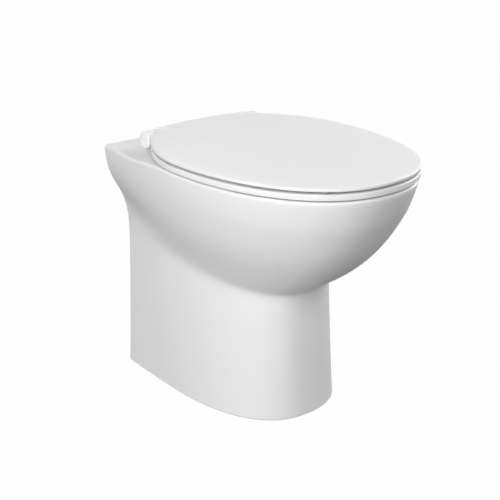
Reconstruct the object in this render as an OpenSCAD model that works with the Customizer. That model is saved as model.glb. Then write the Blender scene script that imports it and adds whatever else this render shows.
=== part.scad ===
// Rimless back-to-wall toilet pan with a slim soft-close seat and lid.
// Millimetres. The floor is z = 0, the wall is at +Y and the nose of the pan points to -Y.
// Places along the depth are given as distances from the wall and turned into Y by at().

/* [Overall] */
// Depth from the wall to the front of the seat
depth = 523; // [480:1:600]
// Height of the ceramic rim above the floor
deck_z = 420; // [390:1:460]
// How much lower the deck lies at the hinges than the rim does
deck_fall = 8; // [4:0.5:10]
// Distance from the wall where the deck starts to rise to the rim
ramp_b = 104; // [100:1:112]
// Distance from the wall where the rim is level
ramp_f = 212; // [190:1:230]

/* [Rim outline of the pan] */
// Half width of the rim at its widest place
rim_a = 175.5; // [160:0.5:195]
// Half width of the deck at the wall
rim_c = 149; // [130:0.5:165]
// Distance from the wall to the widest place
rim_w = 255; // [225:1:280]
// Distance that the rim's nose stays behind the front of the seat
rim_back_set = 1.5; // [0.5:0.5:6]
// Squareness of the rim's nose
rim_n = 2.2; // [2:0.02:3.2]
// How late the sides turn outwards on their way to the wall
side_bow = 1.4; // [1.2:0.05:2]
// Rounding of the outer top edge
edge_r = 4; // [3:0.5:8]

/* [Pedestal] */
// Half width of the foot at its widest place
foot_a = 128.5; // [115:0.5:145]
// Half width of the foot at the wall
foot_c = 125.5; // [110:0.5:127]
// Distance from the wall to the foot's widest place
foot_w = 130; // [100:1:180]
// Distance from the wall to the front of the foot
foot_f = 362.5; // [350:0.5:400]
// Squareness of the foot's nose
foot_n = 2.46; // [2:0.01:3.4]
// How much narrower the pedestal is at its neck, per side
neck_in = 16; // [4:0.5:18]
// Rounding of the vertical back corners
corner_r = 4.5; // [4:0.5:9]
// Wall of the skirt
skirt_t = 11; // [8:0.5:13]
// Width of the wall on each side of the opening in the back
back_post = 34; // [28:1:40]
// Height of the wall between that opening and the deck
lintel = 18; // [12:1:26]
// Rounding of that opening's top corners
opening_r = 24; // [12:1:32]

/* [Belly] */
// Height of the neck at the wall
neck_back_z = 257; // [230:1:260]
// Height of the neck at the nose
neck_front_z = 219.5; // [200:0.5:232]
// Rise of the lower curve handle at the wall
swell_back = 92; // [60:1:112]
// Rise of the lower curve handle at the nose
swell_front = 3; // [2:1:24]
// Height of the upper curve handle above the neck at the wall
shoulder_back = 74; // [60:1:120]
// Height of the upper curve handle above the neck at the nose
shoulder_front = 51.5; // [30:0.5:80]
// Share of the overhang that the upper handle reaches at the nose
reach_front = 0.775; // [0.6:0.005:1]

/* [Bowl] */
// Half width of the opening
open_a = 120; // [105:0.5:126]
// Distance from the wall to the front of the opening
open_f = 464; // [446:1:470]
// Distance from the wall to the back of the opening
open_b = 158; // [150:1:170]
// Squareness of the opening
open_n = 2.25; // [2:0.05:2.8]
// Rounding of the rim's inner edge
inner_r = 8; // [4:0.5:10]
// Depth of the open flushing ledge below the rim
ledge_drop = 48; // [40:1:54]
// Width of the flushing ledge
ledge_in = 16; // [10:1:20]
// Half width of the sump at the top of the trap
sump_a = 42; // [38:0.5:50]
// Distance from the wall to the front of the sump
sump_f = 288; // [280:1:296]
// Distance from the wall to the back of the sump
sump_b = 240; // [234:1:246]
// Height of the top of the trap's entry
sump_z = 100; // [92:1:110]
// Wall of the bowl
bowl_t = 10; // [8:0.5:11]

/* [Trap and outlet] */
// Radius of the waterway
trap_r = 32; // [28:0.5:34]
// Wall of the trap
trap_t = 8; // [6:0.5:9]
// Radius of the two bends
bend_r = 45; // [43:0.5:46]
// Slope of the rising leg
rise_deg = 78; // [74:1:80]
// Height of the outlet's centre above the floor
outlet_z = 182; // [178:1:190]
// Distance from the wall to the end of the outlet spigot
outlet_b = 95; // [85:1:100]
// Outside radius of the outlet spigot
spigot_r = 51; // [50:0.5:55]
// Length of the outlet spigot
spigot_l = 44; // [40:1:46]
// Wall of the outlet spigot
spigot_t = 8; // [6:0.5:9]

/* [Flush inlet] */
// Height of the inlet's centre below the rim
inlet_drop = 90; // [88:1:96]
// Radius of the inlet hole
inlet_r = 27.5; // [25:0.5:28]
// Wall of the inlet horn
inlet_t = 8; // [6:0.5:8.5]
// Distance from the wall to the mouth of the inlet
inlet_b = 42; // [30:1:60]
// Radius of the flush pipe that pushes into the rubber seal
pipe_r = 20; // [16:0.5:22]
// Length of the rubber seal inside the inlet
seal_l = 24; // [18:1:28]
// Length and thickness of the seal's outer lip
seal_lip = 4; // [3:0.5:6]
// Length of the flush spreader
spreader_l = 46; // [40:1:52]
// How far the flush spreader stands into the bowl
spreader_out = 20; // [16:1:22]
// Wall of the flush spreader
spreader_t = 3; // [2:0.25:4]
// Height of the windows that throw the water sideways, above and below the middle
spreader_win = 8; // [6:0.5:9]

/* [Seat and lid outline] */
// Half width of the seat and lid
seat_a = 177.5; // [165:0.5:195]
// Distance from the wall to their widest place
seat_w = 249; // [235:1:270]
// Squareness at the front
seat_n = 2.24; // [2:0.02:2.8]
// Squareness of the sides behind the widest place
seat_bn = 1.83; // [1.7:0.01:2.2]
// Distance from the wall to the place where these sides would meet
meet_b = 39; // [34:1:46]
// Rounding between these sides and the back edge
tail_r = 20; // [12:1:24]
// Distance from the wall to the back edge of the seat ring
seat_b = 96; // [94:1:104]
// Half width of the hole in the seat ring
hole_a = 104; // [90:1:112]
// Distance from the wall to the front of that hole
hole_f = 446; // [430:1:456]
// Distance from the wall to the back of that hole
hole_b = 178; // [172:1:195]
// Gap between the ceramic rim and the seat
seat_gap = 3; // [2:0.1:5]
// Thickness of the seat ring
seat_h = 8.5; // [8.2:0.1:9.4]
// Gap between the seat and the lid
lid_gap = 4.2; // [3.3:0.1:4.5]
// How far the lid reaches behind the hinge axis
lid_tail = 15.5; // [13:0.25:16]
// Height of the lid's plain edge
lid_edge = 4; // [3:0.1:4.4]
// Rise of the lid's soft shoulder
lid_rise = 4.9; // [3.4:0.1:5]
// How much lower the shoulder is from the middle to the nose
lid_slim = 2.4; // [0:0.1:2.6]
// Width of that shoulder
lid_shoulder = 20; // [14:1:26]
// Share of that width at the back edge
back_share = 0.4; // [0.3:0.05:1]
// Extra rise in the middle of the lid
lid_crown = 3.2; // [0:0.1:6]
// Wall of the lid
lid_t = 3.4; // [2.6:0.1:3.6]
// Width of the lid's underside lip
lip_w = 14; // [12:0.5:18]

/* [Hinge] */
// Distance from the wall to the hinge axis
hinge_b = 76; // [74:0.5:80]
// Height of the hinge axis above the deck
hinge_h = 16.75; // [16.5:0.25:18]
// Radius of the lid's hinge barrels
barrel_r = 14; // [12.5:0.25:14.5]
// Half the overall length over the barrel caps
barrel_x = 118; // [114:0.5:124]
// Thickness of a barrel cap
cap_t = 3; // [2:0.25:4]
// Half the distance between the seat's fixing holes
fix_x = 77.5; // [75:0.5:80]
// Length of a hinge post
post_l = 25; // [22:0.5:26]
// Radius of a hinge post's head
head_r = 16; // [14:0.25:16.5]
// Length of a seat knuckle
knuckle_l = 18; // [14:0.5:22]
// Radius of a seat knuckle
knuckle_r = 10.5; // [9:0.25:11]
// Side gap between the hinge pieces
side_gap = 0.5; // [0.3:0.1:0.8]
// Radius of the hinge pins
pin_r = 3; // [2.75:0.25:4]
// Radius of the thin drive end that turns a damper
drive_r = 2.4; // [2:0.1:2.6]
// Radial running clearance on the pins
run_gap = 0.05; // [0.02:0.01:0.08]
// Radius of the soft-close dampers
damper_r = 7; // [6:0.25:8]
// Length of the soft-close dampers
damper_l = 11; // [8:0.5:13]

/* [Seat fixing] */
// Radius of the fixing holes in the deck
fix_hole_r = 7; // [6:0.25:8]
// Radius of the studs
stud_r = 4; // [3:0.25:4.5]
// Length of the studs
stud_l = 66; // [60:1:80]
// Depth of a stud in its post
stud_in = 10; // [7:0.5:11]
// Thickness of the pad under each post
pad_t = 1; // [0.5:0.1:1.5]
// Thickness of the ceramic deck
deck_t = 15; // [12:0.5:16]
// Radius of the squeezed plug under the deck
bulge_r = 9.5; // [8.75:0.25:11]

/* [Floor fixing] */
// Half the distance between the floor brackets
bracket_x = 82; // [78:0.5:86]
// Width of a bracket
bracket_w = 24; // [20:1:28]
// Thickness of a bracket
bracket_t = 4; // [3:0.5:5]
// Length of a bracket's foot
bracket_foot = 52; // [48:1:60]
// Height of a bracket
bracket_h = 62; // [56:1:80]
// Distance from the wall to the back of a bracket
bracket_b = 16; // [12:1:24]
// Distance between the two floor screws of a bracket
screw_pitch = 28; // [24:1:30]
// Radius of the floor screw holes
screw_r = 3.25; // [2.5:0.25:4]
// Height of the clamp bolt above the floor
bolt_z = 40; // [36:1:44]
// Radius of the clamp bolt
bolt_r = 4; // [3:0.5:4.5]
// Thickness of the ceramic rib that a bracket holds
rib_t = 14; // [10:1:18]
// Half the height of that rib
rib_h = 20; // [16:1:22]

/* [Buffers] */
// Radius of the buffers under the seat
seat_pad_r = 8; // [6:0.5:10]
// Radius of the buffers under the lid
lid_pad_r = 5; // [4:0.25:5.5]
// Gap that the unloaded buffers leave
pad_gap = 0.3; // [0.1:0.05:0.6]

/* [Hidden] */
$fn = 64;
wall_y = depth/2;
rim_f = depth - rim_back_set;
eps = 0.01;
cut = 1;

// Points along the nose, the side, the corner and the back of half a pan outline
nose_n = 14;
side_n = 5;
corner_n = 3;
back_n = 2;
half_n = nose_n + side_n + corner_n + back_n;
ring_n = 2*half_n;
// Points round a seat or lid outline
slab_n = 72;

// Heights that follow from the stack of pan, seat and lid
shelf_z = deck_z - deck_fall;
hinge_z = shelf_z + hinge_h;
seat_z = deck_z + seat_gap;
seat_top = seat_z + seat_h;
lid_z = seat_top + lid_gap;
lid_b = hinge_b - lid_tail;
inlet_z = deck_z - inlet_drop;
ledge_z = deck_z - ledge_drop;

// Places along the hinge
post_in = fix_x - post_l/2;
post_out = fix_x + post_l/2;
knuckle_out = post_in - side_gap;
knuckle_in = knuckle_out - knuckle_l;
barrel_in = post_out + side_gap;
barrel_out = barrel_x - cap_t;
plug_l = 3;
damper_out = barrel_out - plug_l;
post_half = 13;
post_z = shelf_z + pad_t;
under_z = shelf_z - deck_t;

function at(d) = wall_y - d;
function mix(a, b, t) = a + (b - a)*t;
function ease(t) = t*t*(3 - 2*t);
function held(t) = min(1, max(0, t));
function bezier(a, b, c, d, t) =
    pow(1 - t, 3)*a + 3*pow(1 - t, 2)*t*b + 3*(1 - t)*t*t*c + pow(t, 3)*d;
function curve(p, q, r, t) = pow(1 - t, 2)*p + 2*t*(1 - t)*q + t*t*r;
function between(a, b, t) = [for (i = [0 : len(a) - 1]) mix(a[i], b[i], t)];

// Half of an outline with a flat back, nose first, as [x, distance from the wall]
function flat_back(a, c, w, f, n, b, r) = concat(
    [for (i = [0 : nose_n - 1]) let (t = 90*i/nose_n)
        [a*pow(sin(t), 2/n), w + (f - w)*pow(cos(t), 2/n)]],
    [for (i = [0 : side_n - 1]) let (t = i/side_n) [mix(a, c, pow(t, side_bow)), mix(w, b + r, t)]],
    [for (i = [0 : corner_n - 1])
        curve([c, b + r], [c - side_bow*(a - c)*r/(w - b), b], [c - r, b], i/corner_n)],
    [for (i = [0 : back_n]) [(c - r)*(1 - i/back_n), b]]);

// The whole outline as a ring of points, and the same ring at one height
function whole(half) = concat(half, [for (i = [half_n - 1 : -1 : 1]) [-half[i][0], half[i][1]]]);
function lift(ring, z) = [for (p = ring) [p[0], at(p[1]), z]];

// Height of the ceramic's top at a distance from the wall, and a ring laid below it
function top_z(d) = deck_z - deck_fall*(1 - sin(90*held((d - ramp_b)/(ramp_f - ramp_b))));
function lay(ring, drop) = [for (p = ring) [p[0], at(p[1]), top_z(p[1]) - drop]];

// Directions of the rim's points seen from the middle of the bowl
bowl_mid = (open_f + open_b)/2;
rim_ring = whole(flat_back(rim_a, rim_c, rim_w, rim_f, rim_n, 0, corner_r));
rim_dir = [for (p = rim_ring) atan2(p[0], p[1] - bowl_mid)];

// An egg-shaped ring: half width a, front f, back b, squareness n
function egg(a, f, b, n) = let (m = (f + b)/2, l = (f - b)/2) [for (q = rim_dir)
    let (k = pow(pow(abs(sin(q))/a, n) + pow(abs(cos(q))/l, n), -1/n)) [k*sin(q), m + k*cos(q)]];

// Skin of a closed body between two end points, through rings of equal length
function skin_faces(rings, n) = let (last = rings*n + 1) concat(
    [for (i = [0 : n - 1]) [0, 1 + (i + 1)%n, 1 + i]],
    [for (j = [0 : rings - 2]) for (i = [0 : n - 1]) let (a = 1 + j*n + i, b = 1 + j*n + (i + 1)%n)
        each [[a, b, b + n], [a, b + n, a + n]]],
    [for (i = [0 : n - 1]) let (s = 1 + (rings - 1)*n) [s + i, s + (i + 1)%n, last]]);
module closed_skin(start, rings, end) {
    polyhedron(points = concat([start], [for (r = rings) each r], [end]),
        faces = skin_faces(len(rings), len(rings[0])));
}
// Skin of a ring-shaped body, whose last ring joins its first
module looped_skin(rings) {
    n = len(rings[0]);
    m = len(rings);
    polyhedron(points = [for (r = rings) each r],
        faces = [for (j = [0 : m - 1]) for (i = [0 : n - 1])
            let (k = (j + 1)%m, a = j*n + i, b = j*n + (i + 1)%n, c = k*n + (i + 1)%n, d = k*n + i)
            each [[a, b, c], [a, c, d]]]);
}

// Round bar along X between x0 and x1, and along Y from d0 back to d1
module bar_x(x0, x1, d, z, r) {
    translate([x0, at(d), z]) rotate([0, 90, 0]) cylinder(h = x1 - x0, r = r);
}
module bar_y(d0, d1, x, z, r) {
    translate([x, at(d0), z]) rotate([-90, 0, 0]) cylinder(h = d0 - d1, r = r);
}
// Block between two distances from the wall
module block(x0, x1, d0, d1, z0, z1) {
    translate([x0, at(d1), z0]) cube([x1 - x0, d1 - d0, z1 - z0]);
}
module both_sides() {
    children();
    mirror([1, 0, 0]) children();
}
module on_side(side) {
    if (side > 0) children();
    else mirror([1, 0, 0]) children();
}

// Pedestal outline set in by o, at part h of the way from the floor to the neck
function foot_ring(o, h) = let (k = neck_in*pow(h, 0.8)) whole(
    flat_back(foot_a - o - k*0.6, foot_c - o - k, foot_w, foot_f - o - k*0.7, foot_n, o, corner_r));
function rim_in(o, b) = whole(flat_back(rim_a - o, rim_c - o, rim_w, rim_f - o, rim_n, b, corner_r));

// Share of the way from the nose to the wall, for each point of a ring
nearness = [for (p = rim_ring) held(1 - p[1]/rim_f)];
function neck_z(i) = mix(neck_front_z, neck_back_z, nearness[i]);
// Outer or inner face of the belly at part t of the way up
function belly(t, o, drop, up) = let (low = foot_ring(o, 1), high = rim_in(o, o))
    [for (i = [0 : ring_n - 1]) let (
        near = nearness[i],
        s = bezier(0, 0, mix(reach_front, 1, near), 1, t),
        z0 = neck_z(i) + up,
        z1 = z0 + mix(swell_front, swell_back, near),
        z2 = z0 + mix(shoulder_front, shoulder_back, near),
        top = top_z(high[i][1]) - drop)
    [mix(low[i][0], high[i][0], s), at(mix(low[i][1], high[i][1], s)), bezier(z0, z1, z2, top, t)]];
function leg(h, o, up) = let (r = foot_ring(o, h)) [for (i = [0 : ring_n - 1])
    [r[i][0], at(r[i][1]), (neck_z(i) + up)*h]];

// Bowl outline o outside the glazed face, at part t of the way from the ledge to the sump
function bowl_ring(t, o) = egg(mix(open_a - ledge_in, sump_a, pow(t, 1.3)) + o,
    mix(open_f - ledge_in, sump_f, pow(sin(90*t), 0.75)) + o,
    mix(open_b + ledge_in, sump_b, t) - o, mix(open_n, 2, t));
function bowl_z(t) = mix(ledge_z, sump_z, t);
function mouth(o) = egg(open_a + o, open_f + o, open_b - o, open_n);
function sump_ring(q, o) = egg((sump_a + o)*cos(q), mix(sump_mid, sump_f + o, cos(q)),
    mix(sump_mid, sump_b - o, cos(q)), 2);

trap_low = sump_z - trap_r;
sump_floor = trap_low - trap_r - 4;
sump_mid = (sump_f + sump_b)/2;
bowl_steps = 6;
belly_steps = 9;
inner_steps = 4;

module pan_shell() {
    glazed = concat(
        [for (q = [66, 47, 26]) lift(sump_ring(q, 0), sump_z - (sump_z - sump_floor)*sin(q))],
        [for (i = [bowl_steps : -1 : 0]) lift(bowl_ring(i/bowl_steps, 0), bowl_z(i/bowl_steps))],
        [lift(mouth(-ledge_in*0.55), ledge_z + 3), lift(mouth(-ledge_in*0.15), ledge_z + 7),
         lift(mouth(1), ledge_z + 14), lift(mouth(1), ledge_z + 22)],
        [for (q = [0, 30, 60, 90]) lay(mouth(inner_r*(1 - cos(q))), inner_r*(1 - sin(q)))],
        [for (t = [0.3, 0.42, 0.65]) lay(between(mouth(inner_r), rim_in(edge_r, edge_r), t), 0)]);
    outside = concat(
        [for (q = [90, 60, 30]) lay(rim_in(edge_r*(1 - cos(q)), edge_r*(1 - cos(q))), edge_r*(1 - sin(q)))],
        [for (i = [belly_steps : -1 : 1]) belly(i/belly_steps, 0, edge_r, 0)],
        [for (h = [1, 0.66, 0.33]) leg(h, 0, 0)],
        [leg(0, 0, 0), leg(0, skirt_t, 0)]);
    inside = concat(
        [for (h = [0.5, 1]) leg(h, skirt_t, skirt_t)],
        [for (i = [1 : inner_steps]) belly(i/inner_steps, skirt_t, deck_t, skirt_t)],
        [for (t = [0.65, 0.42, 0.3]) lay(between(mouth(12), rim_in(skirt_t, skirt_t), t), deck_t)],
        [lay(mouth(12), deck_t), lift(mouth(bowl_t), ledge_z + 8)],
        [for (t = [0.1, 0.3, 0.5, 0.75, 1]) lift(bowl_ring(t, bowl_t), bowl_z(t) - 2)],
        [lift(bowl_ring(1, bowl_t), sump_floor - bowl_t*0.7)]);
    closed_skin([0, at(sump_mid), sump_floor], concat(glazed, outside, inside),
        [0, at(sump_mid), sump_floor - bowl_t*1.4]);
}

// Path of the waterway: level out of the sump, up the rising leg, level again at the outlet.
// Each stop is a distance from the wall, a height and the climb in degrees.
rise = outlet_z - trap_low;
leg_l = (rise - 2*bend_r*(1 - cos(rise_deg)))/sin(rise_deg);
bend_d = sump_b - bowl_t/2;
leg_d = bend_d - bend_r*sin(rise_deg) - leg_l*cos(rise_deg);
leg_top = trap_low + bend_r*(1 - cos(rise_deg)) + leg_l*sin(rise_deg);
bend_end = leg_d - bend_r*sin(rise_deg);
bend_steps = 5;
level = 1;
function stops(first, last) = concat(
    [[max(first, bend_d + level), trap_low, 0]],
    [for (i = [0 : bend_steps]) let (q = rise_deg*i/bend_steps)
        [bend_d - bend_r*sin(q), trap_low + bend_r*(1 - cos(q)), q]],
    [for (i = [bend_steps : -1 : 0]) let (q = rise_deg*i/bend_steps)
        [leg_d - bend_r*(sin(rise_deg) - sin(q)), leg_top + bend_r*(cos(q) - cos(rise_deg)), q]],
    [[min(last, bend_end - level), outlet_z, 0]]);
tube_n = 24;
module waterway(r, first, last) {
    path = stops(first, last);
    closed_skin([0, at(first), trap_low],
        [for (p = path) [for (i = [0 : tube_n - 1]) let (u = 360*i/tube_n)
            [r*cos(u), at(p[0] + r*sin(u)*sin(p[2])), p[1] + r*sin(u)*cos(p[2])]]],
        [0, at(last), outlet_z]);
}

// Inlet horn, cut off inside the sloping back wall of the bowl
horn_r = inlet_r + inlet_t;
wall_lean = (sump_b - open_b - ledge_in)/(ledge_z - sump_z);
horn_end = open_b + ledge_in + (ledge_z - inlet_z)*wall_lean - 3;
module inlet_horn() {
    difference() {
        bar_y(horn_end + horn_r, inlet_b, 0, inlet_z, horn_r);
        translate([0, at(horn_end), inlet_z]) rotate([-atan(wall_lean), 0, 0])
            translate([-horn_r*2, -horn_r*4, -horn_r*2]) cube(horn_r*4);
    }
}

// Opening in the back wall, from the floor up, with round top corners
module back_opening() {
    half = foot_c - back_post;
    top = under_z - lintel;
    wall_gone = skirt_t + opening_r/4;
    arc = [for (q = [0, 18, 36, 54, 72, 90])
        [half - opening_r*(1 - cos(q)), top - opening_r*(1 - sin(q))]];
    translate([0, at(-cut), 0]) rotate([90, 0, 0]) linear_extrude(height = wall_gone + cut)
        polygon(concat([[-half, -cut], [half, -cut]], arc,
            [for (i = [len(arc) - 1 : -1 : 0]) [-arc[i][0], arc[i][1]]]));
}

rib_b = bracket_b + bracket_foot;
module pan() {
    web_t = 12;
    rib_bite = 2;
    color("white") difference() {
        union() {
            pan_shell();
            waterway(trap_r + trap_t, sump_b - 4, outlet_b + spigot_l - web_t/2);
            bar_y(outlet_b + spigot_l, outlet_b, 0, outlet_z, spigot_r);
            inlet_horn();
            both_sides() block(bracket_x - bracket_w/2, foot_c - skirt_t/2 - rib_bite, rib_b, rib_b + rib_t,
                bolt_z - rib_h, bolt_z + rib_h);
        }
        waterway(trap_r, sump_mid, outlet_b + spigot_l - web_t - cut);
        bar_y(outlet_b + spigot_l - web_t, outlet_b - cut, 0, outlet_z, spigot_r - spigot_t);
        bar_y(horn_end + horn_r, inlet_b - cut, 0, inlet_z, inlet_r);
        back_opening();
        both_sides() {
            translate([fix_x, at(hinge_b), under_z - cut]) cylinder(h = deck_t + 2*cut, r = fix_hole_r);
            bar_y(rib_b + rib_t + cut, rib_b - cut, bracket_x, bolt_z, bolt_r + 1);
        }
    }
}

module flush_inlet_seal() {
    color("dimgray") difference() {
        union() {
            bar_y(inlet_b + seal_l, inlet_b - seal_lip, 0, inlet_z, inlet_r);
            bar_y(inlet_b, inlet_b - seal_lip, 0, inlet_z, inlet_r + inlet_t*0.8);
        }
        bar_y(inlet_b + seal_l + cut, inlet_b - seal_lip - cut, 0, inlet_z, pipe_r);
    }
}

module flush_spreader() {
    front = horn_end + spreader_out;
    back = front - spreader_l;
    inner = front - spreader_t;
    color("whitesmoke") difference() {
        bar_y(front, back, 0, inlet_z, inlet_r);
        bar_y(inner, back - cut, 0, inlet_z, inlet_r - spreader_t);
        block(-inlet_r - cut, inlet_r + cut, inner - spreader_win, inner,
            inlet_z - spreader_win, inlet_z + spreader_win*1.5);
        block(-spreader_win*1.5, spreader_win*1.5, inner - cut, front + cut,
            inlet_z - spreader_win*2, inlet_z - spreader_win);
    }
}

// Bent steel bracket: screwed to the floor, with an upright behind the ceramic rib
module floor_bracket() {
    first = bracket_b + (bracket_foot - bracket_t - screw_pitch)/2;
    difference() {
        union() {
            block(bracket_x - bracket_w/2, bracket_x + bracket_w/2, bracket_b, rib_b, 0, bracket_t);
            block(bracket_x - bracket_w/2, bracket_x + bracket_w/2, rib_b - bracket_t, rib_b, 0, bracket_h);
        }
        for (d = [first, first + screw_pitch])
            translate([bracket_x, at(d), -cut]) cylinder(h = bracket_t + 2*cut, r = screw_r);
        bar_y(rib_b + cut, rib_b - bracket_t - cut, bracket_x, bolt_z, bolt_r + 0.5);
    }
}
module floor_bracket_left() {
    color("silver") mirror([1, 0, 0]) floor_bracket();
}
module floor_bracket_right() {
    color("silver") floor_bracket();
}

washer_t = 1.6;
washer_b = rib_b - bracket_t - washer_t;
bolt_head_r = 7.5;
bolt_head_t = 5.3;
bolt_nut_t = 6.8;
module clamp_bolts() {
    color("gray") both_sides() {
        translate([bracket_x, at(washer_b), bolt_z]) rotate([-90, 0, 0])
            cylinder(h = bolt_head_t, r = bolt_head_r, $fn = 6);
        bar_y(rib_b + rib_t + bolt_nut_t + 4, washer_b - eps, bracket_x, bolt_z, bolt_r);
    }
}
module clamp_washers() {
    color("silver") both_sides() difference() {
        bar_y(washer_b + washer_t, washer_b, bracket_x, bolt_z, bolt_r*2);
        bar_y(washer_b + washer_t + cut, washer_b - cut, bracket_x, bolt_z, bolt_r);
    }
}
module clamp_nuts() {
    color("gray") both_sides() difference() {
        translate([bracket_x, at(rib_b + rib_t + bolt_nut_t), bolt_z]) rotate([-90, 0, 0])
            cylinder(h = bolt_nut_t, r = bolt_head_r, $fn = 6);
        bar_y(rib_b + rib_t + bolt_nut_t + cut, rib_b + rib_t - cut, bracket_x, bolt_z, bolt_r);
    }
}

module post_pads() {
    color("lightgray") both_sides() difference() {
        block(post_in, post_out, hinge_b - post_half, hinge_b + post_half, shelf_z, post_z);
        translate([fix_x, at(hinge_b), shelf_z - cut]) cylinder(h = pad_t + 2*cut, r = stud_r);
    }
}

// Fixed post with a round head that fills the lid's notch and holds the hinge pin
module hinge_post(side) {
    color("white") on_side(side) difference() {
        union() {
            intersection() {
                bar_x(post_in, post_out, hinge_b, hinge_z, head_r);
                block(post_in, post_out, hinge_b - head_r, hinge_b + head_r, hinge_z - head_r/2, hinge_z + head_r);
            }
            block(post_in, post_out, hinge_b - post_half, hinge_b + post_half, post_z, hinge_z - eps);
        }
        bar_x(post_in - cut, post_out + cut, hinge_b, hinge_z, pin_r);
        translate([fix_x, at(hinge_b), post_z - cut]) cylinder(h = stud_in + cut, r = stud_r);
    }
}
module hinge_post_left() {
    hinge_post(-1);
}
module hinge_post_right() {
    hinge_post(1);
}

// Steel pins: each has one thin end that turns a damper
module hinge_pin_left() {
    color("silver") on_side(-1) {
        bar_x(knuckle_in + 1, damper_out - damper_l - 0.5, hinge_b, hinge_z, pin_r);
        bar_x(damper_out - damper_l - 0.5 - eps, damper_out - 0.5, hinge_b, hinge_z, drive_r);
    }
}
module hinge_pin_right() {
    color("silver") {
        bar_x(knuckle_in + 1, knuckle_in + damper_l + 0.5 + eps, hinge_b, hinge_z, drive_r);
        bar_x(knuckle_in + damper_l + 0.5, damper_out - 0.5, hinge_b, hinge_z, pin_r);
    }
}

stud_top = post_z + stud_in;
plug_top = shelf_z - 0.5;
bulge_l = 14;
cone_t = 10;
nut_t = 6.5;
module post_studs() {
    color("silver") both_sides() translate([fix_x, at(hinge_b), stud_top - stud_l])
        cylinder(h = stud_l, r = stud_r);
}
// Rubber plugs, squeezed to a bulge against the underside of the deck
module expanding_plugs() {
    color("dimgray") both_sides() translate([fix_x, at(hinge_b), under_z - bulge_l]) difference() {
        union() {
            cylinder(h = plug_top - under_z + bulge_l, r = fix_hole_r - 0.1);
            cylinder(h = bulge_l, r = bulge_r);
        }
        translate([0, 0, -cut]) cylinder(h = deck_t + bulge_l + 2*cut, r = stud_r);
    }
}
module plug_cones() {
    color("lightgray") both_sides() translate([fix_x, at(hinge_b), under_z - bulge_l - cone_t]) difference() {
        cylinder(h = cone_t, r1 = bulge_r - 0.5, r2 = fix_hole_r);
        translate([0, 0, -cut]) cylinder(h = cone_t + 2*cut, r = stud_r);
    }
}
module stud_nuts() {
    color("silver") both_sides() translate([fix_x, at(hinge_b), under_z - bulge_l - cone_t - nut_t])
        difference() {
            cylinder(h = nut_t, r = bolt_head_r, $fn = 6);
            translate([0, 0, -cut]) cylinder(h = nut_t + 2*cut, r = stud_r);
        }
}

// Ring with its own squareness in front of and behind its widest place
function power(v, n) = sign(v)*pow(abs(v), 2/n);
function oval(a, f, w, b, n, bn) = [for (i = [0 : slab_n - 1])
    let (t = 360*i/slab_n, front = abs(t - 180) >= 90, k = front ? n : bn)
    [a*power(sin(t), k), front ? w + (f - w)*power(cos(t), k) : w + (w - b)*power(cos(t), k)]];
function blunt(d, b, r) = abs(d - b) < r ? b + pow(d - b + r, 2)/(4*r) : max(d, b);
function slab(o, back) = [for (p = oval(seat_a - o, depth - o, seat_w, meet_b + back, seat_n, seat_bn))
    [p[0], blunt(p[1], lid_b + back, tail_r)]];
function seat_slab(o) = [for (p = slab(o, o)) [p[0], max(p[1], seat_b + o)]];
function hole(o) = oval(hole_a + o, hole_f + o, (hole_f + hole_b)/2, hole_b - o, open_n, open_n);

module seat() {
    soft = 1.5;
    color("white") difference() {
        union() {
            looped_skin(concat(
                [lift(hole(soft*1.4), seat_top), lift(between(hole(soft), seat_slab(soft), 0.5), seat_top)],
                [for (q = [90, 60, 30, 0]) lift(seat_slab(soft*(1 - sin(90 - q))), seat_top - soft*(1 - sin(q)))],
                [for (q = [0, 45, 90]) lift(seat_slab(soft*(1 - cos(q))/2), seat_z + soft*(1 - sin(q))/2)],
                [lift(between(hole(soft), seat_slab(soft), 0.5), seat_z)],
                [for (q = [90, 45, 0]) lift(hole(soft*(1 - cos(q))/2), seat_z + soft*(1 - sin(q))/2)],
                [for (q = [0, 35, 65]) lift(hole(soft*1.4*(1 - cos(q))), seat_top - soft*1.4*(1 - sin(q)))]));
            both_sides() {
                bar_x(knuckle_in, knuckle_out, hinge_b, hinge_z, knuckle_r);
                block(knuckle_in, knuckle_out, hinge_b, seat_b + 12, seat_z + 0.6, seat_top - 0.6);
            }
        }
        both_sides() bar_x(knuckle_in - cut, knuckle_out + cut, hinge_b, hinge_z, pin_r + run_gap);
        bar_x(knuckle_in - cut, knuckle_in + damper_l, hinge_b, hinge_z, damper_r);
    }
}
module damper(x0) {
    color("darkgray") difference() {
        bar_x(x0, x0 + damper_l, hinge_b, hinge_z, damper_r);
        bar_x(x0 - cut, x0 + damper_l + cut, hinge_b, hinge_z, drive_r + run_gap);
    }
}
module seat_damper() {
    damper(knuckle_in);
}
module lid_damper() {
    on_side(-1) damper(damper_out - damper_l);
}

seat_pads = [[148, 235], [88, 465]];
module seat_buffers() {
    color("gainsboro") both_sides() for (p = seat_pads)
        translate([p[0], at(p[1]), deck_z + pad_gap]) cylinder(h = seat_gap - pad_gap, r = seat_pad_r);
}
lid_pads = [6, 20];
module lid_buffers() {
    lip = slab(lip_w/2 + 0.5, lip_w/2);
    color("gainsboro") both_sides() for (i = lid_pads)
        translate([lip[i][0], at(lip[i][1]), seat_top + pad_gap]) cylinder(h = lid_gap - pad_gap, r = lid_pad_r);
}

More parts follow.
